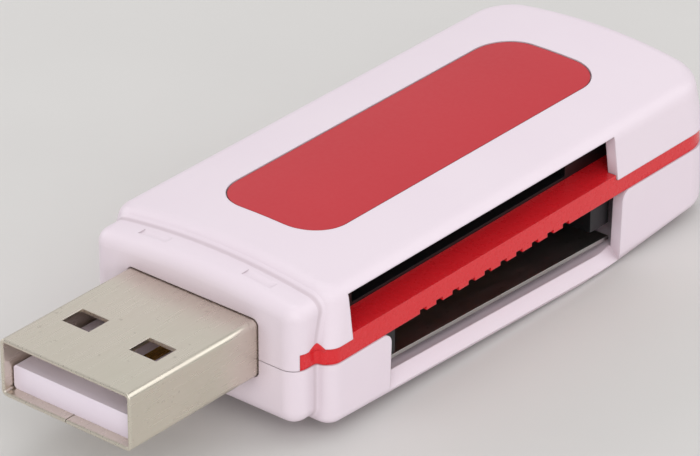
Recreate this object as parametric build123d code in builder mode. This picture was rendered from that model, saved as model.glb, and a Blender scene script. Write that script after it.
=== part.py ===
from build123d import *

import os
from math import asin, cos, degrees, radians, sin, tan

# USB memory card reader: two white shells clamp a red middle frame, a type A plug and four card sockets.
# X runs across the body, Y along it with the plug's tip towards -Y, and Z up. All sizes are in millimetres.
# The origin lies under the middle of the overall length, level with the lowest point of the belly.

os.makedirs("parts", exist_ok=True)

# Plug sleeve, a folded sheet
plug_width = 12.0
plug_height = 4.5
plug_sheet = 0.3
plug_corner = 0.45
plug_reach = 12.9
plug_depth = 5.85
plug_seam = 0.1
window_width = 2.5
window_length = 2.1
window_setback = 4.4
window_offset = 3.1
tab_length = 2.4
tab_height = 1.2
tab_drop = 0.2

# Plug tongue and contact strips
tongue_thickness = 1.88
tongue_setback = 0.8
block_start = 12.2
insulator_gap = 0.1
insulator_bevel = 0.2
contact_width = 1.0
contact_sheet = 0.15
contact_groove = 0.1
inner_contact_offset = 1.0
outer_contact_offset = 3.5
inner_contact_start = 3.9
outer_contact_start = 2.9
contact_tail = 2.0
contact_step = 0.4

# Neck and main body
neck_length = 2.2
neck_width = 18.9
neck_top = 4.65
neck_drop = 5.25
neck_corner = 1.3
neck_round = 1.1
neck_overlap = 1.0
body_length = 45.8
body_width = 21.3
body_top = 5.3
crown_radius = 62.0
wall_lean = 0.6
front_corner = 1.2
top_front_corner = 2.2
rear_corner = 3.5
rear_bow = 0.6
top_round = 1.3
inner_corner = 0.4
wall = 0.9
ceiling_height = 3.9
peg_offset = 8.4
front_peg = 1.8
rear_peg = 40.4
peg_size = 1.5
peg_reach = 1.6
peg_gap = 0.1
post_size = 3.0
plug_gap = 0.08
seam_gap = 0.06
rib_thickness = 1.0
rib_setback = 0.8
rib_width = 10.0

# Belly of the lower shell, seen from the side: an inclined flat, a heel and a rise to the rear
axis_height = 6.95
heel_distance = 29.9
heel_radius = 40.0
front_slope = 2.43
rear_slope = 4.5
belly_round = 0.8
floor_wall = 1.25

# Red middle frame
frame_thickness = 1.7
rim_thickness = 1.3
frame_inset = 0.12
frame_gap = 0.1
arm_setback = 0.65
ledge_width = 0.8

# Upper slot on the right, lower slot on the right, and the two small slots on the left
card_slot_start = 2.5
card_slot_length = 30.25
card_slot_height = 3.0
stick_slot_start = 6.5
stick_slot_length = 26.7
sill_inner = 1.45
sill_outer = 0.55
slot_round = 0.8
small_slot_middle = 18.9
micro_slot_length = 12.2
micro_slot_height = 1.4
mini_slot_length = 13.7
mini_slot_height = 1.65

# Label inlay and the two shallow scoops on top of the neck
label_start = 5.4
label_length = 33.2
label_width = 10.0
label_corner = 3.0
label_thickness = 0.25
label_recess = 0.3
label_gap = 0.1
mark_offset = 4.8
mark_setback = 1.65
mark_width = 2.6
mark_depth = 0.1
mark_hollow = 1.0

# Circuit board
board_width = 13.9
board_length = 39.1
board_thickness = 1.0

# Card sockets
card_setback = 2.65
card_back = -1.3
card_shoulder = 1.225
flange_gap = 0.225
flange_overlap = 2.2
flange_lap = 0.5
card_mouth = 24.3
card_height = 2.45
card_bar = 0.25
stick_setback = 1.25
stick_back = -1.3
stick_overlap = 0.15
stick_mouth = 22.6
stick_height = 2.85
small_setback = 2.65
small_back = -1.7
micro_width = 14.0
micro_mouth = 11.3
micro_height = 1.25
mini_width = 15.4
mini_mouth = 12.8
mini_height = 1.45
back_wall = 1.5
cover_sheet = 0.2
plate_sheet = 0.3
plate_lift = 0.7
plate_rib = 1.0
plate_ribs = 3

# Socket springs
spring_sheet = 0.15
spring_root = 0.25
spring_crest = 0.75
spring_tip = 0.5
card_springs = 9
card_spring_pitch = 2.5
card_spring_width = 0.8
card_spring_run = 5.2
card_spring_lift = 0.8
stick_springs = 10
stick_spring_pitch = 1.82
stick_row_shift = -1.35
stick_spring_width = 0.7
stick_spring_run = 6.4
stick_spring_lift = 1.0
relief_width = 0.75
relief_depth = 0.3
micro_springs = 8
micro_spring_pitch = 1.1
micro_spring_width = 0.6
small_spring_run = 3.4
small_spring_lift = 0.5
mini_springs = 11
mini_spring_pitch = 1.0
mini_spring_width = 0.5

# Parts soldered to the board
chip_length = 10.2
chip_width = 5.3
chip_height = 1.75
chip_lift = 0.1
chip_place = 38.0
lead_count = 14
chip_pitch = 0.65
lead_width = 0.3
lead_sheet = 0.15
lead_reach = 1.25
lead_foot = 0.6
crystal_length = 11.0
crystal_width = 4.5
crystal_height = 3.4
crystal_bevel = 0.4
regulator_length = 2.9
regulator_width = 1.3
regulator_height = 1.0
regulator_pitch = 0.95
regulator_reach = 0.7
regulator_foot = 0.3
led_size = (2.0, 1.25, 0.8)
capacitor_size = (1.6, 0.8, 0.8)
resistor_size = (1.6, 0.8, 0.5)
bay_shift = 0.6
block_spread = 1.4
block_pitch = 1.5

# Places along Y and Z that follow from the sizes above
half_width = body_width / 2
tip_y = -(plug_reach + neck_length + body_length) / 2
neck_front = tip_y + plug_reach
body_front = neck_front + neck_length
rear_end = body_front + body_length
sleeve_rear = neck_front + plug_depth
axis_z = axis_height
frame_top = axis_z + frame_thickness / 2
frame_bottom = axis_z - frame_thickness / 2
rim_top = frame_bottom + rim_thickness
board_top = axis_z + board_thickness / 2
board_bottom = axis_z - board_thickness / 2
ceiling = axis_z + ceiling_height
ceiling_lean = wall_lean * (ceiling - rim_top) / (axis_z + body_top - rim_top)
card_slot_middle = body_front + card_slot_start + card_slot_length / 2
stick_slot_middle = body_front + stick_slot_start + stick_slot_length / 2
small_middle = body_front + small_slot_middle
card_width = card_slot_length - 2 * card_shoulder
card_flange = card_slot_length - flange_gap + flange_overlap
stick_width = stick_slot_length + 2 * stick_overlap
card_front = half_width - card_setback
stick_front = half_width - stick_setback
small_front = small_setback - half_width
board_front = sleeve_rear + insulator_gap + 2 * contact_step
board_rear = board_front + board_length
heel_y = body_front + heel_distance
peg_places = [(x, body_front + y) for x in (-peg_offset, peg_offset) for y in (front_peg, rear_peg)]
far = plug_reach + neck_length + body_length

# The inclined flat of the belly: its local y runs down towards the heel
incline = radians(front_slope)
heel_start_y = heel_y - heel_radius * sin(incline)
heel_start_z = heel_radius * (1 - cos(incline))
belly_plane = Plane(
    origin=(0, heel_start_y, heel_start_z),
    x_dir=(1, 0, 0),
    z_dir=(0, sin(incline), cos(incline)),
)


def along_belly(y):
    """Distance along the inclined flat for a place along the body."""
    return (y - heel_start_y) / cos(incline)


def write(piece, name):
    """Label a finished piece and write its file."""
    piece.label = name
    export_step(piece, f"parts/{name}.step")


def body_outline(inset, front_radius, rear_radius):
    """Plan of the main body drawn in by inset: straight front and sides, bowed rear, rounded corners."""
    half = half_width - inset
    front = body_front + inset
    rear = rear_end - inset
    with BuildSketch() as plan:
        with BuildLine():
            Polyline((half, rear - rear_bow), (half, front), (-half, front), (-half, rear - rear_bow))
            ThreePointArc((half, rear - rear_bow), (0, rear), (-half, rear - rear_bow))
        make_face()
        fillet(plan.vertices().group_by(Axis.Y)[0], front_radius)
        fillet(plan.vertices().group_by(Axis.Y)[-1], rear_radius)
    return plan.sketch


def neck_outline(inset):
    """Plan of the neck drawn in by inset; its rear end reaches into the main body."""
    half = neck_width / 2 - inset
    front = neck_front + inset
    rear = body_front + neck_overlap
    with BuildSketch() as plan:
        with BuildLine():
            Polyline((half, rear), (half, front), (-half, front), (-half, rear), close=True)
        make_face()
        fillet(plan.vertices().group_by(Axis.Y)[0], neck_corner - inset)
    return plan.sketch


def crown_section(height, depth):
    """Section in X and Z under a crown of the given height at the middle, down to a depth under it."""
    side = half_width + wall
    drop = crown_radius - (crown_radius**2 - side**2) ** 0.5
    with BuildSketch() as section:
        with BuildLine():
            ThreePointArc((-side, height - drop), (0, height), (side, height - drop))
            Polyline((side, height - drop), (side, height - depth), (-side, height - depth))
            Line((-side, height - depth), (-side, height - drop))
        make_face()
    return section.sketch


def belly_section(lift):
    """Section in Y and Z above the belly, raised by lift: inclined flat, heel arc and rear rise."""
    rise = radians(rear_slope)
    radius = heel_radius - lift
    front_point = (heel_y - radius * sin(incline), heel_radius - radius * cos(incline))
    rear_point = (heel_y + radius * sin(rise), heel_radius - radius * cos(rise))
    front_end = (tip_y, front_point[1] + (front_point[0] - tip_y) * tan(incline))
    rear_stop = rear_end + wall
    rear_limit = (rear_stop, rear_point[1] + (rear_stop - rear_point[0]) * tan(rise))
    with BuildSketch() as section:
        with BuildLine():
            Line(front_end, front_point)
            CenterArc((heel_y, heel_radius), radius, 270 - front_slope, front_slope + rear_slope)
            Polyline(rear_point, rear_limit, (rear_stop, axis_z), (tip_y, axis_z), front_end)
        make_face()
    return section.sketch


def places(count, pitch, middle):
    """Evenly spaced places about a middle."""
    return [middle + (i - (count - 1) / 2) * pitch for i in range(count)]


def strip(points, thickness):
    """Closed corners of a bent strip: a line of points and the same line raised by the thickness."""
    raised = [(u, v + thickness) for u, v in reversed(points)]
    return points + raised + points[:1]


def socket_housing(front, back, middle, width, mouth, height, side):
    """Black socket: a plate on the board, then two side walls and a back wall round the mouth.

    side is 1 above the board and -1 below it.
    """
    inward = 1 if back > front else -1
    plate_front = -inward * board_width / 2
    stop = back - inward * back_wall
    with BuildPart() as housing:
        with BuildSketch(Plane.XY.offset(axis_z + side * board_thickness / 2)):
            with Locations(((plate_front + back) / 2, middle)):
                Rectangle(abs(plate_front - back), (width + mouth) / 2)
        extrude(amount=side * (frame_thickness - board_thickness) / 2)
        with BuildSketch(Plane.XY.offset(axis_z + side * frame_thickness / 2)):
            with Locations(((front + back) / 2, middle)):
                Rectangle(abs(front - back), width)
            with Locations(((front + stop) / 2, middle)):
                Rectangle(abs(front - stop), mouth, mode=Mode.SUBTRACT)
        extrude(amount=side * height)
    return housing.part


def socket_cover(front, back, middle, width, height, side):
    """Flat steel cover that closes a socket."""
    with BuildPart() as cover:
        with BuildSketch(Plane.XY.offset(axis_z + side * (frame_thickness / 2 + height))):
            with Locations(((front + back) / 2, middle)):
                Rectangle(abs(front - back), width)
        extrude(amount=side * cover_sheet)
    return cover.part


def spring_row(back, run, lift, row, width, side):
    """Row of contact springs that start at a socket's back wall and rise towards the mouth.

    run is the length towards the mouth, with its sign, and lift is the height of the crest.
    """
    root = axis_z + side * frame_thickness / 2 - (spring_sheet if side < 0 else 0)
    profile = [
        (back, root),
        (back + spring_root * run, root),
        (back + spring_crest * run, root + side * lift),
        (back + run, root + side * spring_tip * lift),
    ]
    with BuildPart() as springs:
        for y in row:
            with BuildSketch(Plane.XZ.offset(-y)):
                with BuildLine():
                    Polyline(*strip(profile, spring_sheet))
                make_face()
            extrude(amount=width / 2, both=True)
    return springs.part


def board_blocks(spots, size, base, side):
    """Group of small blocks soldered to one side of the board."""
    length, width, height = size
    with BuildPart() as blocks:
        with BuildSketch(Plane.XY.offset(base)):
            with Locations(*spots):
                Rectangle(length, width)
        extrude(amount=side * height)
    return blocks.part


# Upper neck block, built first and then joined to the upper shell
with BuildPart() as upper_neck:
    with BuildSketch(Plane.XY.offset(frame_bottom + seam_gap)):
        add(neck_outline(0))
    extrude(amount=axis_z + neck_top - frame_bottom - seam_gap)
    with BuildSketch(Plane.XZ):
        add(crown_section(axis_z + neck_top, 2 * neck_top))
    extrude(amount=far, both=True, mode=Mode.INTERSECT)
    crown = upper_neck.faces().sort_by(Axis.Z)[-1]
    fillet(crown.edges().sort_by(Axis.Y)[:-1], neck_round)

# Roller that hollows a shallow scoop across the neck
with BuildPart() as scoop:
    with BuildSketch(Plane.YZ):
        with Locations((0, mark_hollow - mark_depth)):
            Circle(mark_hollow)
    extrude(amount=mark_width / 2, both=True)

# Room that the label inlay leaves in the upper shell
with BuildPart() as label_room:
    with BuildSketch(Plane.XZ):
        add(crown_section(axis_z + body_top - label_recess, body_top))
    extrude(amount=far, both=True)
with BuildPart() as label_cut:
    with BuildSketch(Plane.XY.offset(axis_z)):
        with Locations((0, body_front + label_start + label_length / 2)):
            RectangleRounded(
                label_width + 2 * label_gap,
                label_length + 2 * label_gap,
                label_corner + label_gap,
            )
    extrude(amount=2 * body_top)
    add(label_room.part, mode=Mode.SUBTRACT)

# Room inside the upper shell; the rib that presses on the plug is left standing
with BuildPart() as upper_room:
    with BuildSketch(Plane.XY.offset(rim_top)):
        add(body_outline(wall, inner_corner, rear_corner - wall))
    with BuildSketch(Plane.XY.offset(ceiling)):
        add(body_outline(wall + ceiling_lean, inner_corner, rear_corner - wall))
    loft()
    with BuildSketch(Plane.XY.offset(axis_z + plug_height / 2 + plug_gap)):
        with Locations((0, sleeve_rear - rib_setback)):
            Rectangle(rib_width, rib_thickness)
    extrude(amount=ceiling_height, mode=Mode.SUBTRACT)

with BuildPart() as upper_shell:
    with BuildSketch(Plane.XY.offset(rim_top)):
        add(body_outline(0, front_corner, rear_corner))
    with BuildSketch(Plane.XY.offset(axis_z + body_top)):
        add(body_outline(wall_lean, top_front_corner, rear_corner))
    loft()
    with BuildSketch(Plane.XZ):
        add(crown_section(axis_z + body_top, body_top))
    extrude(amount=far, both=True, mode=Mode.INTERSECT)
    fillet(upper_shell.faces().sort_by(Axis.Z)[-1].edges(), top_round)
    add(upper_neck.part)
    add(upper_room.part, mode=Mode.SUBTRACT)
    # Pegs that pass through the frame into the posts of the lower shell
    with BuildSketch(Plane.XY.offset(frame_bottom - peg_reach)):
        with Locations(*peg_places):
            Rectangle(peg_size, peg_size)
    extrude(amount=ceiling - frame_bottom + peg_reach)
    # Tunnel for the plug, and pockets for the frame's arms
    with BuildSketch(Plane.XZ.offset(-neck_front)):
        with Locations((0, axis_z)):
            RectangleRounded(plug_width + 2 * plug_gap, plug_height + 2 * plug_gap, plug_corner + plug_gap)
    extrude(amount=-(neck_length + 2 * wall), mode=Mode.SUBTRACT)
    with BuildSketch(Plane.XY.offset(frame_bottom)):
        with Locations((0, neck_front + arm_setback)):
            Rectangle(2 * body_width, neck_length + neck_overlap, align=(Align.CENTER, Align.MIN))
    extrude(amount=rim_thickness, mode=Mode.SUBTRACT)
    # Card slot on the right and small slot on the left
    with BuildSketch(Plane.XY.offset(rim_top)):
        with Locations((half_width, card_slot_middle)):
            Rectangle(4 * wall, card_slot_length)
    extrude(amount=frame_top - rim_top + card_slot_height, mode=Mode.SUBTRACT)
    with BuildSketch(Plane.XY.offset(rim_top)):
        with Locations((-half_width, small_middle)):
            Rectangle(4 * wall, micro_slot_length)
    extrude(amount=frame_top - rim_top + micro_slot_height, mode=Mode.SUBTRACT)
    # Seat of the label, and the scoops, which follow the slope of the crown
    add(label_cut.part, mode=Mode.SUBTRACT)
    mark_slope = asin(mark_offset / crown_radius)
    mark_z = axis_z + neck_top - crown_radius * (1 - cos(mark_slope))
    for turn in (-1, 1):
        mark_place = (turn * mark_offset, neck_front + mark_setback, mark_z)
        with Locations(Location(mark_place, (0, turn * degrees(mark_slope), 0))):
            add(scoop.part, mode=Mode.SUBTRACT)
write(upper_shell.part, "upper_shell")

with BuildPart() as label_panel:
    with BuildSketch(Plane.XY.offset(axis_z)):
        with Locations((0, body_front + label_start + label_length / 2)):
            RectangleRounded(label_width, label_length, label_corner)
    extrude(amount=body_top)
    with BuildSketch(Plane.XZ):
        add(crown_section(axis_z + body_top - label_recess + label_thickness, body_top))
    extrude(amount=far, both=True, mode=Mode.INTERSECT)
    add(label_room.part, mode=Mode.SUBTRACT)
write(label_panel.part, "label_panel")

# Lower neck block, built first and then joined to the lower shell
with BuildPart() as lower_neck:
    with BuildSketch(Plane.XY.offset(axis_z - neck_drop)):
        add(neck_outline(0))
    extrude(amount=neck_drop - frame_thickness / 2)
    bottom = lower_neck.faces().sort_by(Axis.Z)[0]
    fillet(bottom.edges().sort_by(Axis.Y)[:-1], neck_round)

# Room inside the lower shell, with a floor that follows the belly; posts for the pegs, the rib under
# the plug and the ribs under the steel plate are left standing
with BuildPart() as lower_room:
    with BuildSketch(Plane.XY):
        add(body_outline(wall, inner_corner, rear_corner - wall))
    extrude(amount=frame_bottom)
    with BuildSketch(Plane.YZ):
        add(belly_section(floor_wall))
    extrude(amount=body_width, both=True, mode=Mode.INTERSECT)
    with BuildSketch(Plane.XY):
        with Locations(*peg_places):
            Rectangle(post_size, post_size)
    extrude(amount=frame_bottom, mode=Mode.SUBTRACT)
    with BuildSketch(Plane.XY.offset(axis_z - plug_height / 2 - plug_gap)):
        with Locations((0, sleeve_rear - rib_setback)):
            Rectangle(rib_width, rib_thickness)
    extrude(amount=-axis_height, mode=Mode.SUBTRACT)
    with BuildSketch(belly_plane.offset(floor_wall + plate_lift)):
        for y in places(plate_ribs, stick_mouth / 2 - plate_rib, stick_slot_middle):
            with Locations(((stick_front + stick_back) / 2, along_belly(y))):
                Rectangle(stick_front - stick_back - 2 * plate_rib, plate_rib)
    extrude(amount=-(floor_wall + plate_lift), mode=Mode.SUBTRACT)

with BuildPart() as lower_shell:
    with BuildSketch(Plane.XY):
        add(body_outline(0, front_corner, rear_corner))
    extrude(amount=frame_bottom)
    with BuildSketch(Plane.YZ):
        add(belly_section(0))
    extrude(amount=body_width, both=True, mode=Mode.INTERSECT)
    underside = lower_shell.faces().filter_by(lambda f: f.normal_at().Z < -0.5)
    outer_edges = underside.edges().filter_by(Axis.X, reverse=True)
    front_edge = underside.edges().filter_by(Axis.X).sort_by(Axis.Y)[0]
    fillet(outer_edges + [front_edge], belly_round)
    add(lower_neck.part)
    add(lower_room.part, mode=Mode.SUBTRACT)
    # Bores of the posts
    with BuildSketch(Plane.XY.offset(frame_bottom)):
        with Locations(*peg_places):
            Rectangle(peg_size + 2 * peg_gap, peg_size + 2 * peg_gap)
    extrude(amount=-(peg_reach + peg_gap), mode=Mode.SUBTRACT)
    # Tunnel for the plug
    with BuildSketch(Plane.XZ.offset(-neck_front)):
        with Locations((0, axis_z)):
            RectangleRounded(plug_width + 2 * plug_gap, plug_height + 2 * plug_gap, plug_corner + plug_gap)
    extrude(amount=-(neck_length + 2 * wall), mode=Mode.SUBTRACT)
    # Stick slot on the right, down to a sloped sill that follows the belly
    sill_start = along_belly(stick_slot_middle - stick_slot_length / 2)
    sill_plane = Plane(
        origin=belly_plane.from_local_coords((0, sill_start, 0)),
        x_dir=(1, 0, 0),
        z_dir=(0, -cos(incline), sin(incline)),
    )
    sill_pitch = (sill_inner - sill_outer) / wall
    with BuildSketch(sill_plane):
        with BuildLine():
            Polyline(
                (half_width - 2 * wall, sill_inner + wall * sill_pitch),
                (half_width + wall, sill_outer - wall * sill_pitch),
                (half_width + wall, axis_z),
                (half_width - 2 * wall, axis_z),
                close=True,
            )
        make_face()
    extrude(amount=-stick_slot_length, mode=Mode.SUBTRACT)
    rims = lower_shell.edges().filter_by(Axis.X).group_by(Axis.Z)[-1]
    fillet(rims.filter_by(lambda e: e.center().X > half_width - wall), slot_round)
    # Small slot on the left
    with BuildSketch(Plane.XY.offset(frame_bottom)):
        with Locations((-half_width, small_middle)):
            Rectangle(4 * wall, mini_slot_length)
    extrude(amount=-mini_slot_height, mode=Mode.SUBTRACT)
write(lower_shell.part, "lower_shell")

stick_row = places(stick_springs, stick_spring_pitch, stick_slot_middle + stick_row_shift)
with BuildPart() as middle_frame:
    with BuildSketch(Plane.XY.offset(frame_bottom)):
        add(body_outline(frame_inset, front_corner, rear_corner))
        add(neck_outline(frame_inset))
        with Locations((0, neck_front)):
            Rectangle(body_width, 2 * (arm_setback + frame_gap), mode=Mode.SUBTRACT)
    extrude(amount=rim_thickness)
    # Raised middle inside the walls of the upper shell, and the shelves in its two slots
    with BuildSketch(Plane.XY.offset(rim_top)):
        add(body_outline(wall + frame_gap, inner_corner, rear_corner - wall))
        with Locations((half_width - frame_inset, card_slot_middle)):
            Rectangle(3 * wall, card_slot_length - 2 * frame_gap, align=(Align.MAX, Align.CENTER))
        with Locations((frame_inset - half_width, small_middle)):
            Rectangle(3 * wall, micro_slot_length - 2 * frame_gap, align=(Align.MIN, Align.CENTER))
    extrude(amount=frame_top - rim_top)
    # Openings for the plug, the board and the pegs
    with BuildSketch(Plane.XY.offset(frame_bottom)):
        with Locations((0, tip_y)):
            Rectangle(plug_width + 2 * frame_gap, 2 * (board_front - frame_gap - tip_y))
        with Locations((0, (board_front + board_rear) / 2)):
            Rectangle(board_width + 2 * frame_gap, board_length + 2 * frame_gap)
        with Locations(*peg_places):
            Rectangle(peg_size + 2 * peg_gap, peg_size + 2 * peg_gap)
    extrude(amount=frame_thickness, mode=Mode.SUBTRACT)
    # Ledge that carries the rear edge of the board
    with BuildSketch(Plane.XY.offset(frame_bottom)):
        with Locations((0, board_rear + frame_gap)):
            Rectangle(board_width + 2 * frame_gap, ledge_width, align=(Align.CENTER, Align.MAX))
    extrude(amount=(frame_thickness - board_thickness) / 2)
    # Grooves under the right rail, over the springs of the stick socket
    with BuildSketch(Plane.XY.offset(frame_bottom)):
        for y in stick_row:
            with Locations((half_width, y)):
                Rectangle(body_width - board_width, relief_width)
    extrude(amount=relief_depth, mode=Mode.SUBTRACT)
write(middle_frame.part, "middle_frame")

with BuildPart() as plug_shell:
    with BuildSketch(Plane.XZ.offset(-tip_y)):
        with Locations((0, axis_z)):
            RectangleRounded(plug_width, plug_height, plug_corner)
            RectangleRounded(
                plug_width - 2 * plug_sheet,
                plug_height - 2 * plug_sheet,
                plug_corner - plug_sheet,
                mode=Mode.SUBTRACT,
            )
    extrude(amount=-(plug_reach + plug_depth))
    with BuildSketch(Plane.XY.offset(axis_z)):
        with Locations(
            (-window_offset, tip_y + window_setback + window_length / 2),
            (window_offset, tip_y + window_setback + window_length / 2),
        ):
            Rectangle(window_width, window_length)
    extrude(amount=plug_height, both=True, mode=Mode.SUBTRACT)
    with BuildSketch(Plane.XY.offset(axis_z - plug_height / 2)):
        with Locations((0, tip_y)):
            Rectangle(plug_seam, 4 * (plug_reach + plug_depth))
    extrude(amount=plug_sheet, mode=Mode.SUBTRACT)
    with BuildSketch(Plane.XZ.offset(-sleeve_rear)):
        with Locations(
            (-(plug_width - plug_sheet) / 2, axis_z - tab_drop),
            ((plug_width - plug_sheet) / 2, axis_z - tab_drop),
        ):
            Rectangle(plug_sheet, tab_height)
    extrude(amount=-tab_length)
write(plug_shell.part, "plug_shell")

tongue_floor = axis_z - plug_height / 2 + plug_sheet
strip_floor = tongue_floor + tongue_thickness - contact_groove
contact_rows = [
    (-outer_contact_offset, outer_contact_start),
    (-inner_contact_offset, inner_contact_start),
    (inner_contact_offset, inner_contact_start),
    (outer_contact_offset, outer_contact_start),
]

with BuildPart() as plug_insulator:
    inner_width = plug_width - 2 * plug_sheet - 2 * insulator_gap
    block_height = plug_height - 2 * plug_sheet - insulator_gap
    for start, height in ((tongue_setback, tongue_thickness), (block_start, block_height)):
        with BuildSketch(Plane.XZ.offset(-(tip_y + start))) as section:
            with Locations((0, tongue_floor)):
                Rectangle(inner_width, height, align=(Align.CENTER, Align.MIN))
            chamfer(section.vertices(), insulator_bevel)
        extrude(amount=-(plug_reach + plug_depth - start))
    for x, start in contact_rows:
        with BuildSketch(Plane.XY.offset(strip_floor)):
            with Locations((x, tip_y + start)):
                Rectangle(contact_width, far, align=(Align.CENTER, Align.MIN))
        extrude(amount=contact_sheet, mode=Mode.SUBTRACT)
write(plug_insulator.part, "plug_insulator")

with BuildPart() as plug_contacts:
    tail_floor = board_bottom - contact_sheet
    bend = sleeve_rear + insulator_gap
    for x, start in contact_rows:
        with BuildSketch(Plane.YZ.offset(x)):
            with BuildLine():
                Polyline(
                    *strip(
                        [
                            (tip_y + start, strip_floor),
                            (bend, strip_floor),
                            (bend + contact_step, tail_floor),
                            (board_front + contact_tail, tail_floor),
                        ],
                        contact_sheet,
                    )
                )
            make_face()
        extrude(amount=contact_width / 2, both=True)
write(plug_contacts.part, "plug_contacts")

with BuildPart() as circuit_board:
    with BuildSketch(Plane.XY.offset(board_bottom)):
        with Locations((0, (board_front + board_rear) / 2)):
            Rectangle(board_width, board_length)
        with Locations(
            (-(plug_width - plug_sheet) / 2, board_front),
            ((plug_width - plug_sheet) / 2, board_front),
        ):
            Rectangle(plug_sheet + 2 * frame_gap, 2 * tab_length, mode=Mode.SUBTRACT)
    extrude(amount=board_thickness)
write(circuit_board.part, "circuit_board")

# The four sockets: card and stick on the right, micro and mini on the left
with BuildPart() as card_socket:
    add(socket_housing(card_front, card_back, card_slot_middle, card_width, card_mouth, card_height, 1))
    # Flange on both sides of the mouth, and the bar that a card slides over
    flange_depth = card_front - board_width / 2 + flange_lap
    flange_x = card_front - flange_depth / 2
    with BuildSketch(Plane.XY.offset(frame_top)):
        with Locations((flange_x, card_slot_middle + (flange_gap + flange_overlap) / 2)):
            Rectangle(flange_depth, card_flange)
        with Locations((flange_x, card_slot_middle)):
            Rectangle(flange_depth, card_mouth, mode=Mode.SUBTRACT)
    extrude(amount=card_height)
    with BuildSketch(Plane.XY.offset(frame_top)):
        with Locations((flange_x, card_slot_middle)):
            Rectangle(flange_depth, card_mouth)
    extrude(amount=card_bar)
write(card_socket.part, "card_socket")
write(socket_cover(card_front, card_back, card_slot_middle, card_width, card_height, 1), "card_cover")
stick_socket = socket_housing(
    stick_front, stick_back, stick_slot_middle, stick_width, stick_mouth, stick_height, -1
)
write(stick_socket, "stick_socket")
micro_socket = socket_housing(
    small_front, small_back, small_middle, micro_width, micro_mouth, micro_height, 1
)
write(micro_socket, "micro_socket")
write(socket_cover(small_front, small_back, small_middle, micro_width, micro_height, 1), "micro_cover")
mini_socket = socket_housing(
    small_front, small_back, small_middle, mini_width, mini_mouth, mini_height, -1
)
write(mini_socket, "mini_socket")
write(socket_cover(small_front, small_back, small_middle, mini_width, mini_height, -1), "mini_cover")

# Steel plate on the ribs of the lower shell: the floor of the stick slot
with BuildPart() as stick_plate:
    with BuildSketch(belly_plane.offset(floor_wall + plate_lift)):
        with Locations(((stick_front + stick_back) / 2, along_belly(stick_slot_middle))):
            Rectangle(stick_front - stick_back, stick_width)
    extrude(amount=plate_sheet)
write(stick_plate.part, "stick_plate")

card_row = places(card_springs, card_spring_pitch, card_slot_middle)
card_contacts = spring_row(
    card_back + back_wall, card_spring_run, card_spring_lift, card_row, card_spring_width, 1
)
write(card_contacts, "card_contacts")
stick_contacts = spring_row(
    stick_back + back_wall, stick_spring_run, stick_spring_lift, stick_row, stick_spring_width, -1
)
write(stick_contacts, "stick_contacts")
micro_row = places(micro_springs, micro_spring_pitch, small_middle)
micro_contacts = spring_row(
    small_back - back_wall, -small_spring_run, small_spring_lift, micro_row, micro_spring_width, 1
)
write(micro_contacts, "micro_contacts")
mini_row = places(mini_springs, mini_spring_pitch, small_middle)
mini_contacts = spring_row(
    small_back - back_wall, -small_spring_run, small_spring_lift, mini_row, mini_spring_width, -1
)
write(mini_contacts, "mini_contacts")

# Controller chip and its leads, crystal, regulator, lamp and small parts
chip_y = body_front + chip_place
with BuildPart() as controller_chip:
    with BuildSketch(Plane.XY.offset(board_top + chip_lift)):
        with Locations((0, chip_y)):
            Rectangle(chip_length, chip_width)
    extrude(amount=chip_height)
write(controller_chip.part, "controller_chip")

with BuildPart() as controller_leads:
    lead_knee = board_top + chip_lift + chip_height / 2
    for direction in (-1, 1):
        edge = chip_y + direction * chip_width / 2
        for x in places(lead_count, chip_pitch, 0):
            with BuildSketch(Plane.YZ.offset(x)):
                with BuildLine():
                    Polyline(
                        *strip(
                            [
                                (edge, lead_knee),
                                (edge + direction * (lead_reach - lead_foot) / 2, lead_knee),
                                (edge + direction * (lead_reach - lead_foot), board_top),
                                (edge + direction * lead_reach, board_top),
                            ],
                            lead_sheet,
                        )
                    )
                make_face()
            extrude(amount=lead_width / 2, both=True)
write(controller_leads.part, "controller_leads")

with BuildPart() as crystal_can:
    with BuildSketch(Plane.XY.offset(board_bottom)):
        with Locations((0, chip_y)):
            SlotOverall(crystal_length, crystal_width)
    extrude(amount=-crystal_height)
    chamfer(crystal_can.faces().sort_by(Axis.Z)[0].edges(), crystal_bevel)
write(crystal_can.part, "crystal_can")

front_bay = board_front + contact_tail
rear_bay = card_slot_middle + card_width / 2
bay_x = (small_front + card_back) / 2 + bay_shift
regulator_y = front_bay + 2 * regulator_width
with BuildPart() as regulator_chip:
    with BuildSketch(Plane.XY.offset(board_top + chip_lift)):
        with Locations((bay_x, regulator_y)):
            Rectangle(regulator_length, regulator_width)
    extrude(amount=regulator_height)
write(regulator_chip.part, "regulator_chip")

with BuildPart() as regulator_leads:
    for direction, offset_x in ((-1, -regulator_pitch), (-1, regulator_pitch), (1, 0)):
        edge = regulator_y + direction * regulator_width / 2
        with BuildSketch(Plane.YZ.offset(bay_x + offset_x)):
            with BuildLine():
                Polyline(
                    *strip(
                        [
                            (edge, board_top + regulator_height / 2),
                            (
                                edge + direction * (regulator_reach - regulator_foot) / 2,
                                board_top + regulator_height / 2,
                            ),
                            (edge + direction * (regulator_reach - regulator_foot), board_top),
                            (edge + direction * regulator_reach, board_top),
                        ],
                        lead_sheet,
                    )
                )
            make_face()
        extrude(amount=lead_width / 2, both=True)
write(regulator_leads.part, "regulator_leads")

write(board_blocks([(bay_x, front_bay)], led_size, board_top, 1), "indicator_led")
columns = (bay_x - block_spread, bay_x + block_spread)
capacitor_spots = [(x, rear_bay - i * block_pitch) for x in columns for i in (0, 1, 2)]
write(board_blocks(capacitor_spots, capacitor_size, board_top, 1), "capacitors")
resistor_spots = [(x, rear_bay - i * block_pitch) for x in columns for i in (0, 1)]
write(board_blocks(resistor_spots, resistor_size, board_bottom, -1), "resistors")
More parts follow.
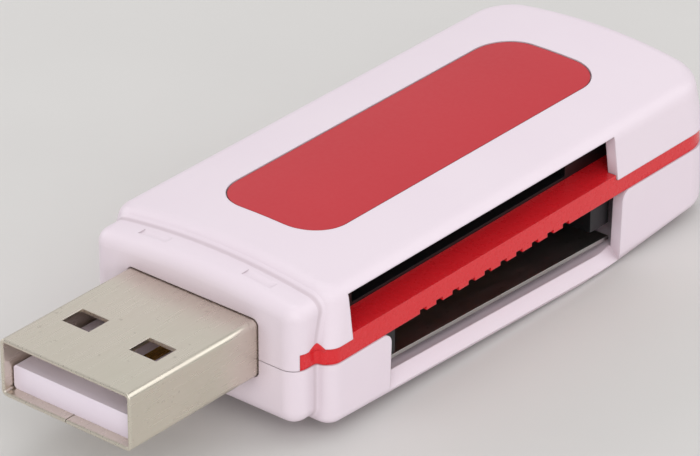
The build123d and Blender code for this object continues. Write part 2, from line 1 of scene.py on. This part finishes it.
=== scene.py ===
# %% [markdown]
# A USB memory card reader, dressed for a studio picture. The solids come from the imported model, in metres,
# and stay where they are. This lesson sets the camera, adds the finishes and the fine pieces that a solid
# model leaves out, and ends with the floor and the light.

# %% Load the solids
import math

import bpy
import numpy as np
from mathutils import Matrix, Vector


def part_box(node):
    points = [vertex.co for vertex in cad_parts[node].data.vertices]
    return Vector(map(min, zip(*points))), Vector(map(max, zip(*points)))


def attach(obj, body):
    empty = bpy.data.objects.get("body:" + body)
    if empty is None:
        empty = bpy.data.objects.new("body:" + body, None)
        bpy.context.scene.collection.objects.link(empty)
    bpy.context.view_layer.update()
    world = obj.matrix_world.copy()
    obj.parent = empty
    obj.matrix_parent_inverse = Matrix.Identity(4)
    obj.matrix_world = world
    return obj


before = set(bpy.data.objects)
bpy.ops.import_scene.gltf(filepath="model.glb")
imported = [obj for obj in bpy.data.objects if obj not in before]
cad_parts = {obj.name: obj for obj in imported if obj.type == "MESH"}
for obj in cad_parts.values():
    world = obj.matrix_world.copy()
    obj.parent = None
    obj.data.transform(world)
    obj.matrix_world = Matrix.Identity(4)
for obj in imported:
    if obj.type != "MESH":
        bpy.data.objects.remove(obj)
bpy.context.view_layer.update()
scene = bpy.context.scene
MM = 0.001

# %% [markdown]
# The camera stands where the photographer stood. Its turn and height were found by fitting straight edges of
# the object, such as the plug's, to the picture. A long lens far away gives the same mild perspective. The
# sensor is as wide as the picture, so the focal length in pixels turns straight into millimetres of lens.

# %% Camera
PICTURE = (700, 456)
FOCAL_PIXELS = 4660.0
SENSOR = 36.0

lens = bpy.data.cameras.new("studio_lens")
lens.sensor_fit = "HORIZONTAL"
lens.sensor_width = SENSOR
lens.lens = FOCAL_PIXELS * SENSOR / PICTURE[0]
lens.clip_start = 0.01
lens.clip_end = 10.0
camera = bpy.data.objects.new("camera", lens)
camera.location = (188.52 * MM, -225.93 * MM, 168.22 * MM)
camera.rotation_euler = (math.radians(61.28), 0.0, math.radians(39.9))
scene.collection.objects.link(camera)
scene.camera = camera
print("lens in mm:", round(lens.lens, 1))

# %% [markdown]
# Colours are written as the eye reads them, in sRGB hex, and Blender works in linear light. One function
# turns the first into the second. A second small function adds a shader node with its settings and its
# links, so that each material below reads as a short list.

# %% Colour and node helpers
def linear(colour):
    """Linear red, green, blue and alpha of an sRGB hex colour: the standard curve, channel by channel."""
    srgb = np.array([int(colour[i:i + 2], 16) for i in (1, 3, 5)]) / 255.0
    value = np.where(srgb <= 0.04045, srgb / 12.92, ((srgb + 0.055) / 1.055) ** 2.4)
    return (*value.tolist(), 1.0)


def add(material, kind, inputs=None, **settings):
    """Add a node to a material. Each input takes a plain value or the output socket of another node."""
    tree = material.node_tree
    node = tree.nodes.new(kind)
    for name, value in settings.items():
        setattr(node, name, value)
    for name, value in (inputs or {}).items():
        if isinstance(value, bpy.types.NodeSocket):
            tree.links.new(value, node.inputs[name])
        else:
            node.inputs[name].default_value = value
    return node


def blank(name, **values):
    """New material with its surface shader and output only; values go to the shader's sockets."""
    material = bpy.data.materials.new(name)
    material.use_nodes = True
    surface = material.node_tree.nodes["Principled BSDF"]
    for socket, value in values.items():
        surface.inputs[socket.replace("_", " ")].default_value = value
    return material, surface


def join(material, surface, **sources):
    """Link output sockets to the shader's sockets of the same names."""
    for socket, source in sources.items():
        material.node_tree.links.new(source, surface.inputs[socket.replace("_", " ")])


def dress(material, *names):
    """Give CAD nodes a material in each of their slots."""
    for name in names:
        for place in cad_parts[name].material_slots:
            place.material = material
    print(material.name, "on", ", ".join(names))


# %% [markdown]
# Nearly all that is seen here is moulded plastic, so one function makes it. The colour drifts a little over
# several millimetres, as resin flow leaves it. Roughness and bump follow the grain of the tool. No moulded
# edge is sharp, and a bevel node rounds the light on each edge by the tool's own small radius, which is
# simpler than cutting hundreds of tiny roundings. Where that rounded normal leaves the flat one there is an
# edge, and hands and pockets have rubbed the colour there a little. An ambient occlusion node finds the
# opposite places, the valleys, and there the colour is mixed towards a grey: painted shade. A new piece can
# also carry painted shade of its own, as an attribute of its points; where a mesh has no such attribute, the
# node reads 0.

# %% Moulded plastic
def edge_rub_and_highlight(material, edge, patch):
    """Share of paler edge colour, in patches, as the rounded normal leaves the flat one: wear, on metal also
    painted highlight.
    """
    flat = add(material, "ShaderNodeNewGeometry").outputs["Normal"]
    match = add(material, "ShaderNodeVectorMath", {0: edge.outputs["Normal"], 1: flat},
                operation="DOT_PRODUCT")
    parted = add(material, "ShaderNodeMapRange", {
        "Value": match.outputs["Value"], "From Min": 0.98, "From Max": 0.75})
    patchy = add(material, "ShaderNodeMapRange", {
        "Value": patch, "From Min": 0.35, "From Max": 0.65, "To Min": 0.25, "To Max": 0.8})
    return add(material, "ShaderNodeMath", {0: parted.outputs["Result"], 1: patchy.outputs["Result"]},
               operation="MULTIPLY").outputs["Value"]


VALLEY_REACH = 1.5 * MM


def moulded_plastic(name, colour, shade, rubbed_and_highlight, painted_shade, gloss, drift_mm, grain_mm, bump_mm, edge_mm,
                    **values):
    """Plastic from a tool: two hex colours drift over a grain; edges are rubbed and valleys get painted
    shade.
    """
    material, surface = blank(name, IOR=1.52, **values)
    place = add(material, "ShaderNodeTexCoord").outputs["Object"]
    drift = add(material, "ShaderNodeTexNoise", {
        "Vector": place, "Scale": 1 / (drift_mm * MM), "Detail": 3.0})
    tint = add(material, "ShaderNodeMix", {0: drift.outputs["Fac"], 6: linear(colour), 7: linear(shade)},
               data_type="RGBA")
    grain = add(material, "ShaderNodeTexNoise", {
        "Vector": place, "Scale": 1 / (grain_mm * MM), "Detail": 2.0})
    rough = add(material, "ShaderNodeMapRange", {
        "Value": grain.outputs["Fac"], "To Min": gloss - 0.06, "To Max": gloss + 0.06})
    edge = add(material, "ShaderNodeBevel", {"Radius": edge_mm * MM}, samples=6)
    rub_and_highlight = edge_rub_and_highlight(material, edge, drift.outputs["Fac"])
    rubbed_tint = add(material, "ShaderNodeMix", {0: rub_and_highlight, 6: tint.outputs[2], 7: linear(rubbed_and_highlight)},
                      data_type="RGBA")
    # Painted shade: where ambient occlusion finds a valley within VALLEY_REACH, the colour is mixed towards a
    # grey.
    open_sky = add(material, "ShaderNodeAmbientOcclusion", {"Distance": VALLEY_REACH}, samples=8)
    valley = add(material, "ShaderNodeMapRange", {
        "Value": open_sky.outputs["AO"], "From Min": 0.98, "From Max": 0.6, "To Max": 0.8})
    # A piece may also carry painted shade at its points; the larger of the two shares is used.
    drawn = add(material, "ShaderNodeAttribute", attribute_name="painted_shade")
    shade_share = add(material, "ShaderNodeMath", {0: valley.outputs["Result"], 1: drawn.outputs["Fac"]},
               operation="MAXIMUM")
    worn_and_painted_light = add(material, "ShaderNodeMix", {
        0: shade_share.outputs["Value"], 6: rubbed_tint.outputs[2], 7: linear(painted_shade)}, data_type="RGBA")
    bump = add(material, "ShaderNodeBump", {
        "Height": grain.outputs["Fac"], "Strength": 0.3, "Distance": bump_mm * MM,
        "Normal": edge.outputs["Normal"]})
    join(material, surface, Base_Color=worn_and_painted_light.outputs[2], Roughness=rough.outputs["Result"],
         Normal=bump.outputs["Normal"])
    return material


# %% [markdown]
# The shells are white ABS from a tool with a fine satin. The eye sees a white with a breath of lavender and a
# soft, wide gloss. The real grain is about 0.05 mm, too fine to show, so it is drawn at 0.25 mm.

# %% White ABS of the shells
# The grey #CDBCC4 is the colour of painted shade in the valleys of the shells.
white_abs = moulded_plastic(
    "white_abs_satin_moulded", colour="#F2E5EE", shade="#EEDFEA", rubbed_and_highlight="#F7EEF4", painted_shade="#CDBCC4",
    gloss=0.36, drift_mm=9.0, grain_mm=0.25, bump_mm=0.004, edge_mm=0.12, Specular_IOR_Level=0.35)
dress(white_abs, "upper_shell", "lower_shell")

# %% [markdown]
# The middle frame is red ABS from a polished tool: deep red with a tight gloss, so that its rim picks up a
# pale sheen from the room, while its shelf inside the upper slot stays deep red. Polish has no grain, only a
# slow waviness of half a millimetre.

# %% Red ABS of the frame
red_abs = moulded_plastic(
    "red_abs_polished_moulded", colour="#E2252E", shade="#DB1F28", rubbed_and_highlight="#E2585C", painted_shade="#E01E27",
    gloss=0.28, drift_mm=6.0, grain_mm=0.5, bump_mm=0.0005, edge_mm=0.08)
dress(red_abs, "middle_frame")

# %% [markdown]
# The label is a red printed film in a shallow recess. A matt varnish makes it a little paler than the frame,
# and its gloss is wide and weak.

# %% Red film of the label
red_film = moulded_plastic(
    "red_film_printed_matt", colour="#CA2E39", shade="#C22732", rubbed_and_highlight="#D45A60", painted_shade="#A82530",
    gloss=0.42, drift_mm=12.0, grain_mm=0.35, bump_mm=0.002, edge_mm=0.05, Specular_IOR_Level=0.35)
dress(red_film, "label_panel")

# %% [markdown]
# The sockets and chips are black resin filled with glass fibre. It is near black, with a dull, faintly uneven
# gloss. The plug's tongue is a pale resin, white with a breath of lavender.

# %% Resins
black_resin = moulded_plastic(
    "black_resin_glass_filled", colour="#101215", shade="#0A0B0E", rubbed_and_highlight="#212326", painted_shade="#08090B",
    gloss=0.45, drift_mm=5.0, grain_mm=0.2, bump_mm=0.004, edge_mm=0.05)
dress(black_resin, "card_socket", "stick_socket", "micro_socket", "mini_socket", "controller_chip",
      "regulator_chip", "resistors")
pale_resin = moulded_plastic(
    "pale_resin_moulded", colour="#FDF2FD", shade="#F8EAF9", rubbed_and_highlight="#FFF8FF", painted_shade="#EADCEA",
    gloss=0.4, drift_mm=5.0, grain_mm=0.3, bump_mm=0.003, edge_mm=0.05)
dress(pale_resin, "plug_insulator")

# %% [markdown]
# The small things on the board are hardly seen, but a part should bear a look inside. The lamp is cast
# epoxy, pale and glossy. The capacitors are tan sintered ceramic, dull and faintly mottled. The board wears a
# printed mask, deep green with a soft gloss, which rubs paler along its cut edges.

# %% Lamp, capacitors and board
lamp_epoxy = moulded_plastic(
    "clear_epoxy_cast", colour="#E9E3CF", shade="#E2DBC4", rubbed_and_highlight="#F2EEE0", painted_shade="#D0C8B2",
    gloss=0.2, drift_mm=3.0, grain_mm=0.3, bump_mm=0.001, edge_mm=0.05)
dress(lamp_epoxy, "indicator_led")
tan_ceramic = moulded_plastic(
    "tan_ceramic_sintered", colour="#B59B72", shade="#A88E66", rubbed_and_highlight="#C4AF8C", painted_shade="#96805C",
    gloss=0.5, drift_mm=1.0, grain_mm=0.15, bump_mm=0.003, edge_mm=0.04)
dress(tan_ceramic, "capacitors")
green_mask = moulded_plastic(
    "green_solder_mask_printed", colour="#1E5B34", shade="#184D2B", rubbed_and_highlight="#5E7A4A", painted_shade="#123F22",
    gloss=0.3, drift_mm=4.0, grain_mm=0.3, bump_mm=0.004, edge_mm=0.03)
dress(green_mask, "circuit_board")

# %% [markdown]
# Metal sheet is rolled, cut, folded and plated, so one function makes all of it. Plating leaves a faint cloud
# of colour, rolling leaves fine streaks along the sheet, and use leaves a few specks. The edges are painted
# paler, partly as rubbed wear and partly as a painted highlight.
# The streaks are noise that is stretched 25 times along Y, so that each is long in Y and narrow across it.

# %% Rolled and plated metal
SPECK_MM = 0.5
SHEET_EDGE_MM = 0.08
STREAK_DEPTH_MM = 0.001


def rolled_metal(name, colour, shade, speck, rubbed_and_highlight, rough, streak_mm, cloud_mm):
    """Plated sheet: two hex colours in clouds, specks at peaks of noise, worn edges with painted highlight,
    streaks along Y.
    """
    material, surface = blank(name, Metallic=1.0)
    place = add(material, "ShaderNodeTexCoord").outputs["Object"]
    squeeze = add(material, "ShaderNodeMapping", {"Vector": place, "Scale": (1.0, 0.04, 1.0)})
    streak = add(material, "ShaderNodeTexNoise", {
        "Vector": squeeze.outputs["Vector"], "Scale": 1 / (streak_mm * MM), "Detail": 4.0})
    cloud = add(material, "ShaderNodeTexNoise", {
        "Vector": place, "Scale": 1 / (cloud_mm * MM), "Detail": 2.0})
    tint = add(material, "ShaderNodeMix", {0: cloud.outputs["Fac"], 6: linear(colour), 7: linear(shade)},
               data_type="RGBA")
    grit = add(material, "ShaderNodeTexNoise", {
        "Vector": place, "Scale": 1 / (SPECK_MM * MM), "Detail": 1.0})
    peak = add(material, "ShaderNodeMapRange", {
        "Value": grit.outputs["Fac"], "From Min": 0.7, "From Max": 0.78, "To Max": 0.35})
    marked = add(material, "ShaderNodeMix", {0: peak.outputs["Result"], 6: tint.outputs[2], 7: linear(speck)},
               data_type="RGBA")
    gloss = add(material, "ShaderNodeMapRange", {
        "Value": streak.outputs["Fac"], "From Min": 0.3, "From Max": 0.7, "To Min": rough - 0.06,
        "To Max": rough + 0.1})
    # The paler edge colour is partly rubbed wear and partly a painted highlight on the sheet's round edge.
    edge = add(material, "ShaderNodeBevel", {"Radius": SHEET_EDGE_MM * MM}, samples=6)
    rub_and_highlight = edge_rub_and_highlight(material, edge, cloud.outputs["Fac"])
    worn_and_painted_light = add(material, "ShaderNodeMix", {0: rub_and_highlight, 6: marked.outputs[2], 7: linear(rubbed_and_highlight)},
               data_type="RGBA")
    bump = add(material, "ShaderNodeBump", {
        "Height": streak.outputs["Fac"], "Strength": 0.2, "Distance": STREAK_DEPTH_MM * MM,
        "Normal": edge.outputs["Normal"]})
    join(material, surface, Base_Color=worn_and_painted_light.outputs[2], Roughness=gloss.outputs["Result"],
         Normal=bump.outputs["Normal"])
    return material


# %% [markdown]
# Four metals come from it. The nickel on the plug is a warm, cloudy grey, and its folded edge takes a bright
# line of light, from a lamp and partly painted by its near-white rubbed edge colour. The covers and the plate
# in the slots are stamped stainless steel, colder and duller, seen as a thin silver line. The chips' leads
# are tinned, pale and soft. The contact springs are gilded bronze, the only yellow inside.

# %% Metals of the plug, the sockets and the board
# The near-white rubbed colour paints in part of the bright line on the folded edge.
nickel = rolled_metal(
    "nickel_plated_steel_folded", colour="#E2D6CB", shade="#DAD6C6", speck="#A89E92", rubbed_and_highlight="#F4ECE2",
    rough=0.3, streak_mm=0.15, cloud_mm=8.0)
dress(nickel, "plug_shell")
bare_steel = rolled_metal(
    "stainless_steel_stamped", colour="#B8B7B4", shade="#A9A8A5", speck="#77756F", rubbed_and_highlight="#D0CFCC",
    rough=0.35, streak_mm=0.15, cloud_mm=4.0)
dress(bare_steel, "card_cover", "micro_cover", "mini_cover", "stick_plate", "crystal_can")
tinned = rolled_metal(
    "tinned_copper_formed", colour="#CFCFCC", shade="#C3C3C0", speck="#8E8C88", rubbed_and_highlight="#DEDEDB",
    rough=0.4, streak_mm=0.1, cloud_mm=2.0)
dress(tinned, "controller_leads", "regulator_leads")
gilded = rolled_metal(
    "gold_plated_bronze_stamped", colour="#D8B568", shade="#CFA854", speck="#9C7C3C", rubbed_and_highlight="#E6C98A",
    rough=0.25, streak_mm=0.1, cloud_mm=2.0)
dress(gilded, "plug_contacts", "card_contacts", "stick_contacts", "micro_contacts", "mini_contacts")

# %% [markdown]
# New pieces are grids of points worked out with numpy. These helpers number the quads of a grid, close a grid
# into a thin solid skin, and put points and faces into a mesh whose faces look outwards.

# %% Grid helpers
def grid_quads(rows, columns, ring=False):
    """Corner numbers of each quad of a grid of points; a ring joins the last column to the first."""
    i, j = np.meshgrid(np.arange(rows - 1), np.arange(columns - (0 if ring else 1)), indexing="ij")
    k = (j + 1) % columns
    corners = [i * columns + j, (i + 1) * columns + j, (i + 1) * columns + k, i * columns + k]
    return np.stack(corners, axis=-1).reshape(-1, 4)


def skin(outer, inner):
    """Closed thin solid: the outer grid, the inner grid turned over, and quads round their common border."""
    rows, columns = outer.shape[:2]
    number = np.arange(rows * columns).reshape(rows, columns)
    border = np.concatenate([number[0, :-1], number[:-1, -1], number[-1, :0:-1], number[:0:-1, 0]])
    after = np.roll(border, -1)
    under = rows * columns
    face = grid_quads(rows, columns)
    rim = np.stack([border, after, after + under, border + under], axis=-1)
    points = np.concatenate([outer.reshape(-1, 3), inner.reshape(-1, 3)])
    return points, np.concatenate([face, face[:, ::-1] + under, rim])


def piece(name, points, faces, material, slot, extra=(), painted_shade=None):
    """Mesh object at the origin from points in millimetres, turned outwards; it rides on the part's body."""
    a, b, c, d = (points[faces[:, i]] for i in range(4))
    volume = np.einsum("ij,ij->", a, np.cross(b, c)) + np.einsum("ij,ij->", a, np.cross(c, d))
    turned = faces if volume > 0 else faces[:, ::-1]
    mesh = bpy.data.meshes.new(name)
    mesh.from_pydata((points * MM).tolist(), [], turned.tolist() + [list(face) for face in extra])
    mesh.polygons.foreach_set("use_smooth", np.ones(len(mesh.polygons), dtype=bool))
    mesh.set_sharp_from_angle(angle=math.radians(40))
    mesh.materials.append(material)
    # Painted shade for the material, as a share at each point.
    if painted_shade is not None:
        mesh.attributes.new("painted_shade", "FLOAT", "POINT").data.foreach_set("value", painted_shade.ravel())
    made = bpy.data.objects.new(name, mesh)
    scene.collection.objects.link(made)
    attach(made, "root")
    print(name, "quads:", len(faces), "volume in mm3:", round(abs(float(volume)) / 6, 3))
    return made


# %% [markdown]
# Where the narrow neck grows out of the body, the real shells have a soft hollow, as the tool was ground
# with a round cutter. A fillet where three roundings meet often fails in a solid modeller. Here both forms
# are written as distances, which are negative inside and positive outside, with the same sizes as the solids,
# in millimetres. A soft minimum of the two distances is a smooth joint, and each point of a band along the
# corner is moved onto it by Newton's method.

# %% Forms of the shells as distances
AXIS = 6.95
RIM_TOP, FRAME_BOTTOM = AXIS + 0.45, AXIS - 0.85
BODY_FRONT, BODY_HALF, BODY_TOP = -15.35, 10.65, AXIS + 5.3
BODY_CORNER, BODY_ROUND, BELLY_ROUND = 1.2, 1.3, 0.8
NECK_FRONT, NECK_HALF, NECK_TOP, NECK_FOOT = -17.55, 9.45, AXIS + 4.65, AXIS - 5.25
NECK_CORNER, NECK_ROUND = 1.3, 1.1
NECK_END = BODY_FRONT + 1.0
CROWN = 62.0
WALL_LEAN, CORNER_GROWTH, WALL_HEIGHT = 0.6, 1.0, BODY_TOP - RIM_TOP
BELLY_RISE, BELLY_PITCH = 0.582, math.tan(math.radians(2.43))


def plan_wall(x, y, half, front, corner):
    """Distance in plan to a block with round front corners, and how far its direction looks sideways."""
    a, b = np.abs(x) - half + corner, front + corner - y
    out = np.hypot(np.maximum(a, 0), np.maximum(b, 0))
    side = np.where(out > 0, np.maximum(a, 0) / np.maximum(out, 1e-9), a > b)
    return out + np.minimum(np.maximum(a, b), 0) - corner, side


def crown(x, z, top):
    """Distance to a wide cylinder along Y whose top is at the given height, and its direction in X and Z."""
    arch = np.hypot(x, z - top + CROWN)
    return arch - CROWN, np.abs(x) / arch, (z - top + CROWN) / arch


def rounded(wall, cap, radius, cosine=0.0):
    """Distance to a form with a wall and a cap, round where they meet; cosine is that of their directions."""
    a, b = wall + radius, cap + radius
    edge = np.sqrt(np.maximum(a**2 + b**2 - 2 * cosine * a * b, 0) / (1 - cosine**2))
    beyond = (a > cosine * b) & (b > cosine * a)
    return np.where(beyond, edge, np.maximum(a, b)) - radius


def upper_forms(p):
    """Distances to the upper neck and the upper body; the body's walls lean in towards its crowned top."""
    x, y, z = np.moveaxis(p, -1, 0)
    rise = np.clip((z - RIM_TOP) / WALL_HEIGHT, 0, 1)
    lean = WALL_LEAN * rise
    wall, side = plan_wall(x, y, BODY_HALF - lean, BODY_FRONT + lean, BODY_CORNER + CORNER_GROWTH * rise)
    turned = side + np.sqrt(1 - side**2)
    tilt = np.arctan(((WALL_LEAN + CORNER_GROWTH) * turned - CORNER_GROWTH) / WALL_HEIGHT)
    arch, over, up = crown(x, z, BODY_TOP)
    cosine = side * np.cos(tilt) * over + np.sin(tilt) * up
    body = rounded(wall * np.cos(tilt), arch, BODY_ROUND, cosine)
    wall, side = plan_wall(x, y, NECK_HALF, NECK_FRONT, NECK_CORNER)
    arch, over, up = crown(x, z, NECK_TOP)
    return np.maximum(rounded(wall, arch, NECK_ROUND, side * over), y - NECK_END), body


def lower_forms(p):
    """Distances to the lower neck and the lower body; the body's cap is the sloping belly."""
    x, y, z = np.moveaxis(p, -1, 0)
    belly = BELLY_RISE - BELLY_PITCH * y
    body = rounded(plan_wall(x, y, BODY_HALF, BODY_FRONT, BODY_CORNER)[0], belly - z, BELLY_ROUND)
    neck = rounded(plan_wall(x, y, NECK_HALF, NECK_FRONT, NECK_CORNER)[0], NECK_FOOT - z, NECK_ROUND)
    return np.maximum(neck, y - NECK_END), body


def slope(field, p, step=1e-3):
    """Gradient of a field at points: half the difference of its values a step ahead and a step behind."""
    ahead = [field(p + step * axis) - field(p - step * axis) for axis in np.eye(3)]
    return np.stack(ahead, axis=-1) / (2 * step)


# %% [markdown]
# The band starts as the valley line between neck and body. Halving an interval finds it twice: along rays
# from the neck's middle for the neck's outline, then along Y for the place where that outline enters the
# body. One half of the band runs forward on the neck, the other half outwards on the body. Its borders sink
# very gently under the shells, so that no edge shows. The points carry painted shade, a soft grey line that
# is strongest just in front of the valley line.

# %% Soft hollows between neck and body
def settle(field, points, height):
    """Newton's method, 14 times: a point moves along the gradient by (field - height) / gradient squared."""
    for _ in range(14):
        grade = slope(field, points)
        points = points - ((field(points) - height) / (grade**2).sum(-1))[..., None] * grade
    grade = slope(field, points)
    return points, grade / np.linalg.norm(grade, axis=-1, keepdims=True)


def ease(value, first, last):
    """Smooth step from 0 at first to 1 at last: 3 t^2 - 2 t^3 of the share t of the way."""
    t = np.clip((value - first) / (last - first), 0, 1)
    return t**2 * (3 - 2 * t)


def joint(forms, reach):
    """Field of the soft minimum of two distances a and b: min(a, b) - (reach - |a - b|)^2 / (4 reach)."""
    def field(p):
        a, b = forms(p)
        return np.minimum(a, b) - np.maximum(reach - np.abs(a - b), 0) ** 2 / (4 * reach)
    return field


def halve(inside, near, far):
    """Distance at which inside(distance) turns false, for whole arrays: the interval is halved 40 times."""
    for _ in range(40):
        half = (near + far) / 2
        near, far = np.where(inside(half), half, near), np.where(inside(half), far, half)
    return half[:, None]


JOINT_REACH = 0.35
SKIN_DEPTH = 0.3
PARTING_GAP = 0.015


def hollow(name, forms, level, first, last, width=0.65, proud=0.002, sink=0.027, painted_shade_peak=0.7):
    """Thin skin of the joint along the valley line, from the first to the last angle about the neck."""
    angle = np.linspace(first, last, 361)
    ray = np.stack([np.cos(angle), 0 * angle, np.sin(angle)], axis=-1)
    middle, back = np.array([0.0, BODY_FRONT - 0.4, level]), np.array([0.0, 1.0, 0.0])
    near, far = np.zeros(angle.size), np.full(angle.size, 14.0)
    outline = middle + ray * halve(lambda d: forms(middle + ray * d[:, None])[0] < 0, near, far)
    outward = slope(lambda p: forms(p)[0], outline) * np.array([1.0, 0.0, 1.0])
    outward /= np.linalg.norm(outward, axis=-1, keepdims=True)
    valley = outline + back * halve(lambda d: forms(outline + back * d[:, None])[1] > 0, near, far / 10)
    across = np.linspace(-1, 1, 49)[None, :, None]
    band = valley[:, None] + width * (np.minimum(across, 0) * back + np.maximum(across, 0) * outward[:, None])
    height = proud - sink * ease(np.abs(across[..., 0]), 0.45, 1.0)
    band, facing = settle(joint(forms, JOINT_REACH), band, height)
    # Painted shade: a grey share that peaks just in front of the valley line.
    painted_shade = painted_shade_peak * (1 - ease(np.abs(across + 0.3), 0.0, 0.65)) + 0 * angle[:, None, None]
    points, faces = skin(band, band - SKIN_DEPTH * facing)
    return piece(name, points, faces, white_abs, "shell_white", painted_shade=np.tile(painted_shade, (2, 1, 1)))


hollow("upper_hollow", upper_forms, RIM_TOP + PARTING_GAP, 0.0, math.pi)
hollow("lower_hollow", lower_forms, FRAME_BOTTOM - PARTING_GAP, 0.0, -math.pi)

# %% [markdown]
# In the same two corners the red frame swells into a small knuckle, which keeps the shells in line. It is a
# patch of the same joint. Its ends and its lower part keep to the frame, and its upper edge rises to a soft
# point where neck and body meet, with a lip that stands a hair proud of the white shell.

# %% Red knuckles in the corners
def knuckle(name, side, width=1.4, rise=0.42, inset=0.02, set_back=0.09, sink=0.12, proud=0.12):
    """Patch of the joint: u runs along the frame, v up from its lower to its upper edge, which swells."""
    u, v = np.meshgrid(np.linspace(-1, 1, 57), np.linspace(0, 1, 33), indexing="ij")
    swell = np.clip(1.2 - 1.9 * np.hypot(u, 0.1), 0, 1)
    z = FRAME_BOTTOM + inset + (RIM_TOP - FRAME_BOTTOM - 2 * inset + rise * swell) * v
    x = side * (NECK_HALF + width * np.maximum(u, 0))
    patch = np.stack([x, BODY_FRONT + width * np.minimum(u, 0), z], axis=-1)
    lip = ease(z, RIM_TOP - 0.3, RIM_TOP + inset) * ease(swell, 0.0, 0.2)
    height = -set_back - sink * ease(np.abs(u), 0.45, 1.0) + proud * lip
    patch, facing = settle(joint(upper_forms, JOINT_REACH), patch, height)
    return piece(name, *skin(patch, patch - SKIN_DEPTH * facing), red_abs, "frame_red")


knuckle("knuckle_right", 1)
knuckle("knuckle_left", -1)

# %% [markdown]
# The plug's sheet is cut and then tumbled, so its front edge is round and catches a bright line of light.
# A flat cut edge can't do that. Here an ellipse is carried along the middle of the sheet, from one side of
# the fold's seam to the other, and its two ends are closed.

# %% Round front edge of the plug
def rolled_edge(width, height, corner, seam, across, ahead, front):
    """Ellipse carried along a rectangle with round corners: out by across cos t, forward by ahead sin t."""
    turn = np.linspace(-np.pi / 2, 0, 9)
    angle = np.concatenate([[-np.pi / 2], *(turn + k * np.pi / 2 for k in range(4)), [1.5 * np.pi]])
    side = np.repeat(np.array([[1, -1], [1, 1], [-1, 1], [-1, -1]]), turn.size, axis=0)
    centre = side * np.array([width / 2 - corner, height / 2 - corner])
    ends = np.array([[seam / 2, corner - height / 2], [-seam / 2, corner - height / 2]])
    centre = np.concatenate([ends[:1], centre, ends[1:]])
    t = np.linspace(0, 2 * np.pi, 16, endpoint=False)[None, :]
    out = corner + across * np.cos(t)
    x = centre[:, :1] + out * np.cos(angle)[:, None]
    z = centre[:, 1:] + out * np.sin(angle)[:, None] + AXIS
    y = front - ahead * np.sin(t) + 0 * x
    points = np.stack([x, y, z], axis=-1)
    rows, columns = x.shape
    return points.reshape(-1, 3), grid_quads(rows, columns, ring=True), rows, columns


PLUG_WIDTH, PLUG_HEIGHT, PLUG_CORNER, PLUG_SHEET, PLUG_SEAM = 12.0, 4.5, 0.45, 0.3, 0.1
plug_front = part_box("plug_shell")[0][1] / MM
edge_points, edge_faces, rows, columns = rolled_edge(
    PLUG_WIDTH - PLUG_SHEET, PLUG_HEIGHT - PLUG_SHEET, PLUG_CORNER - PLUG_SHEET / 2, PLUG_SEAM,
    across=PLUG_SHEET / 2, ahead=0.1, front=plug_front)
caps = [np.arange(columns).tolist(), (np.arange(columns)[::-1] + (rows - 1) * columns).tolist()]
piece("plug_edge", edge_points, edge_faces, nickel, "plug_steel", extra=caps)

# %% [markdown]
# The floor is a plain pale sheet of paper, wide enough to fill the picture. It has a faint mottle of fibre.

# %% Floor
FLOOR_HALF, FLOOR_LINES, FIBRE_MM = 2.0, 5, 15
lines = np.linspace(-FLOOR_HALF, FLOOR_HALF, FLOOR_LINES)
sheet_x, sheet_y = np.meshgrid(lines, lines, indexing="ij")
sheet = np.stack([sheet_x, sheet_y, 0 * sheet_x], axis=-1).reshape(-1, 3)
floor_mesh = bpy.data.meshes.new("floor")
floor_mesh.from_pydata(sheet.tolist(), [], grid_quads(FLOOR_LINES, FLOOR_LINES).tolist())
floor = bpy.data.objects.new("floor", floor_mesh)
scene.collection.objects.link(floor)
floor_paper, paper_surface = blank("pale_paper_uncoated", Roughness=0.9)
paper_place = add(floor_paper, "ShaderNodeTexCoord").outputs["Object"]
fibre = add(floor_paper, "ShaderNodeTexNoise", {
    "Vector": paper_place, "Scale": 1 / (FIBRE_MM * MM), "Detail": 4.0})
paper_tint = add(floor_paper, "ShaderNodeMix", {
    0: fibre.outputs["Fac"], 6: linear("#DEDCDA"), 7: linear("#D9D7D5")}, data_type="RGBA")
join(floor_paper, paper_surface, Base_Color=paper_tint.outputs[2])
floor_mesh.materials.append(floor_paper)
print("floor in m:", lines[0], "to", lines[-1])

# %% [markdown]
# Soft light: a pale world all round does half of the work, as a light tent does. A large soft lamp near the
# camera reaches into the slots and the plug, one overhead lifts the crown and one lights the left side. Two
# weak ones behind the object are for the metal: its top mirrors one, its folded edge the other, as a line.

# %% World and lamps
TENT_STRENGTH = 0.47
world = bpy.data.worlds.new("light_tent")
scene.world = world
world.use_nodes = True
world.node_tree.nodes["Background"].inputs["Color"].default_value = (1.0, 1.0, 1.0, 1.0)
world.node_tree.nodes["Background"].inputs["Strength"].default_value = TENT_STRENGTH


def soft_lamp(name, place, size, power):
    """Square area lamp at a place, turned to the origin."""
    data = bpy.data.lights.new(name, "AREA")
    data.shape = "SQUARE"
    data.size = size
    data.energy = power
    lamp = bpy.data.objects.new(name, data)
    lamp.location = place
    x, y, z = place
    lamp.rotation_euler = (math.atan2(math.hypot(x, y), z), 0.0, math.atan2(-y, -x) - math.pi / 2)
    scene.collection.objects.link(lamp)
    print(name, "W:", power)
    return lamp


soft_lamp("key_box", (0.55, -0.55, 0.45), size=1.0, power=4.5)
soft_lamp("overhead_box", (-0.1, 0.1, 0.8), size=0.5, power=1.0)
soft_lamp("left_box", (-0.8, -0.1, 0.32), size=0.5, power=1.5)
soft_lamp("rear_box", (-0.39, 0.47, 0.35), size=0.4, power=0.15)
soft_lamp("edge_box", (0.35, 0.47, 0.39), size=0.5, power=0.9)
scene.view_settings.view_transform = "Standard"
